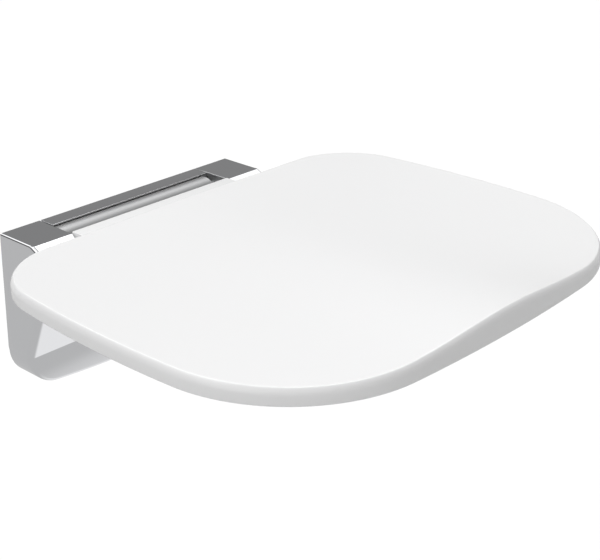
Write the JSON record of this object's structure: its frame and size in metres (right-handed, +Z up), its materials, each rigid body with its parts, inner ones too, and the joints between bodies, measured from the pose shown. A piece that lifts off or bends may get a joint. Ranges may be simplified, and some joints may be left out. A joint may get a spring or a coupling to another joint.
{
  "type": "fold down wall seat",
  "caption": "White moulded seat that folds up on a brake hinge between the two cheeks of a chrome wall bracket with a slanted console.",
  "frame": {"origin": "centre of the wall fixing pattern, in the plane of the wall", "axes": "+Y into the wall, -Y towards the room, +X to the right as seen facing the wall, +Z up"},
  "size_m": [0.4, 0.388, 0.1508],
  "materials": {
    "chrome": "polished chrome plate",
    "plate_steel": "ground stainless steel",
    "black_rubber": "matt rubber",
    "cast_alloy": "bead blasted casting",
    "bearing_plastic": "matt bearing plastic",
    "shaft_steel": "turned stainless steel",
    "screw_steel": "stainless screw",
    "satin_alloy": "satin anodised",
    "seat_white": "smooth gloss",
    "pan_white": "fine satin",
    "insert_brass": "machined"
  },
  "bodies": {
    "bracket": {"bracket_housing": "chrome", "lower_cover": "chrome", "rear_strip": "chrome", "wall_plate": "plate_steel", "wall_gasket": "black_rubber", "left_side_frame": "cast_alloy", "right_side_frame": "cast_alloy", "left_stop_collar": "shaft_steel", "right_stop_collar": "shaft_steel", "frame_screws": "screw_steel", "front_rail": "plate_steel", "rail_screws": "screw_steel", "rest_pads": "black_rubber", "hinge_shaft": "shaft_steel", "shaft_set_screws": "screw_steel", "cover_screws": "screw_steel"},
    "seat": {"seat_shell": "seat_white", "seat_pan": "pan_white", "pan_screws": "screw_steel", "hinge_leaf": "plate_steel", "leaf_screws": "screw_steel", "seat_inserts": "insert_brass", "hinge_barrel": "satin_alloy", "left_bush": "bearing_plastic", "right_bush": "bearing_plastic"}
  },
  "joints": [
    {"name": "seat_fold", "type": "hinge", "parent": "bracket", "child": "seat", "pos_m": [0, -0.022, 0.056], "axis": [-1, 0, 0], "range_deg": [0, 78]}
  ]
}
